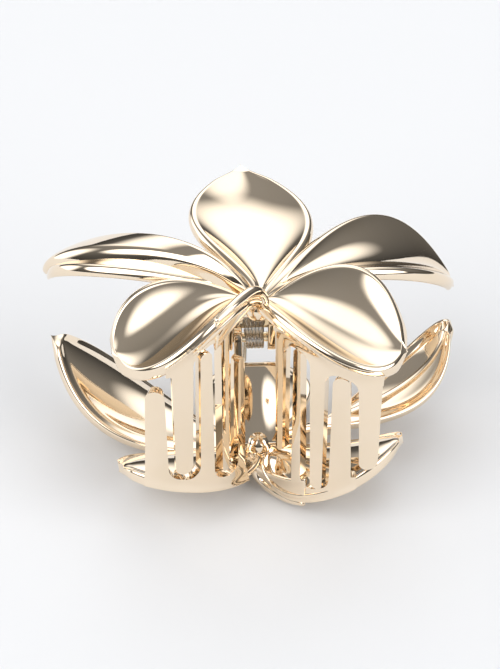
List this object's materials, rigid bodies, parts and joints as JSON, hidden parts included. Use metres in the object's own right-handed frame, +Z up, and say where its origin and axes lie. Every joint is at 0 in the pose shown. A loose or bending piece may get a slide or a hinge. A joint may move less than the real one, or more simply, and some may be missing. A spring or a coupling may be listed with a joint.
{
  "type": "hair claw clip",
  "caption": "Flower-shaped metal claw clip for hair: two petalled jaws with interlocking combs of teeth on a sprung hinge.",
  "frame": {"origin": "middle of the hinge pin", "axes": "+X along the hinge pin, +Y from the teeth towards the thumb rests, +Z up through the upper flower when the clip lies on its lower one"},
  "size_m": [0.0842, 0.0567, 0.0522],
  "materials": {
    "gold_plate": "mirror-polished pale champagne gold plating on a zinc casting",
    "pin_metal": "polished, plated to match",
    "spring_steel": "bright drawn spring wire"
  },
  "bodies": {
    "lower_jaw": {"lower_arm": "gold_plate", "lower_left_lug": "gold_plate", "lower_right_lug": "gold_plate", "lower_back_petal": "gold_plate", "lower_left_long_petal": "gold_plate", "lower_right_long_petal": "gold_plate", "lower_left_round_petal": "gold_plate", "lower_right_round_petal": "gold_plate", "lower_left_comb": "gold_plate", "lower_right_comb": "gold_plate", "hinge_pin": "pin_metal", "torsion_spring": "spring_steel"},
    "upper_jaw": {"upper_arm": "gold_plate", "upper_left_lug": "gold_plate", "upper_right_lug": "gold_plate", "upper_back_petal": "gold_plate", "upper_left_long_petal": "gold_plate", "upper_right_long_petal": "gold_plate", "upper_left_round_petal": "gold_plate", "upper_right_round_petal": "gold_plate", "upper_left_comb": "gold_plate", "upper_right_comb": "gold_plate"}
  },
  "joints": [
    {"name": "hinge", "type": "hinge", "parent": "lower_jaw", "child": "upper_jaw", "pos_m": [0, 0, 0], "axis": [-1, 0, 0], "range_deg": [0, 35], "stiffness_Nm_per_rad": 0.19, "springref_deg": -45.84, "deforming": ["torsion_spring"]}
  ]
}
